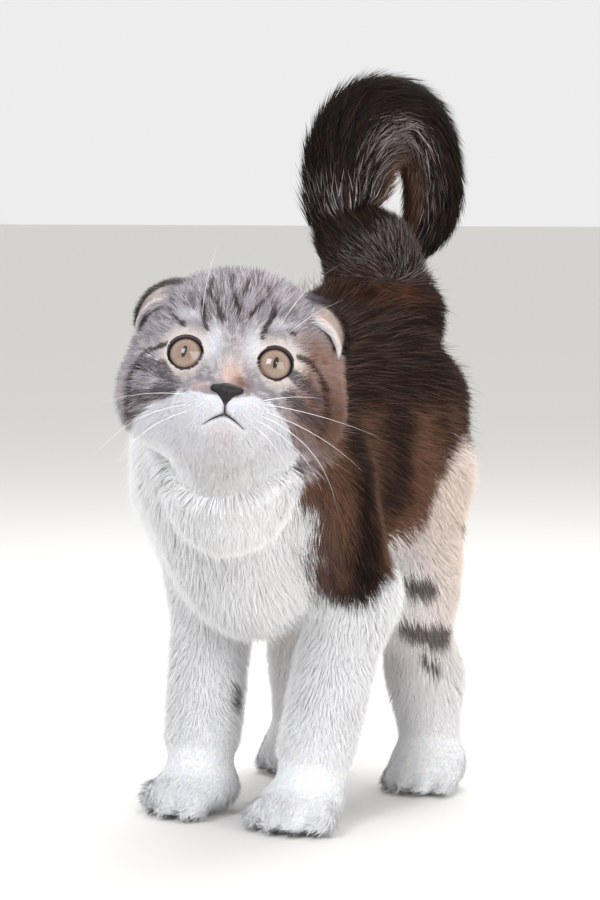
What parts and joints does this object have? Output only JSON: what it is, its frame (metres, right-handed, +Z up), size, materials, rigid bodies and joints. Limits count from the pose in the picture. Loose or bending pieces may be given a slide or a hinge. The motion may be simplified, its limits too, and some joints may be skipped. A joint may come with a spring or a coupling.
{
  "type": "kitten",
  "caption": "Life-size Scottish Fold kitten standing on all fours, back arched, head turned and lifted, folded ears and a bushy tail curled over in an upright loop.",
  "frame": {"origin": "on the floor, below the middle of the whole kitten's box", "axes": "+Z up, -Y the way the body faces, +X to the kitten's left"},
  "size_m": [0.1262, 0.2342, 0.2918],
  "materials": {
    "coat_dark": "soft dark brown and black fur",
    "coat_grey": "short grey tabby fur",
    "coat_white": "soft white fur",
    "nose_leather": "bare black nose, damp",
    "eye": "wet, grey-brown iris with an upright slit"
  },
  "bodies": {
    "root": {"head": "coat_grey", "ear_left": "coat_grey", "ear_right": "coat_grey", "eye_left": "eye", "eye_right": "eye", "nose": "nose_leather", "neck": "coat_white", "trunk": "coat_dark", "upper_foreleg_left": "coat_white", "upper_foreleg_right": "coat_white", "lower_foreleg_left": "coat_white", "lower_foreleg_right": "coat_white", "forepaw_left": "coat_white", "forepaw_right": "coat_white", "thigh_left": "coat_white", "thigh_right": "coat_white", "shank_left": "coat_white", "shank_right": "coat_white", "hindpaw_left": "coat_white", "hindpaw_right": "coat_white", "tail_root": "coat_dark", "tail_rise": "coat_dark", "tail_bend": "coat_dark", "tail_tip": "coat_dark"}
  },
  "joints": []
}
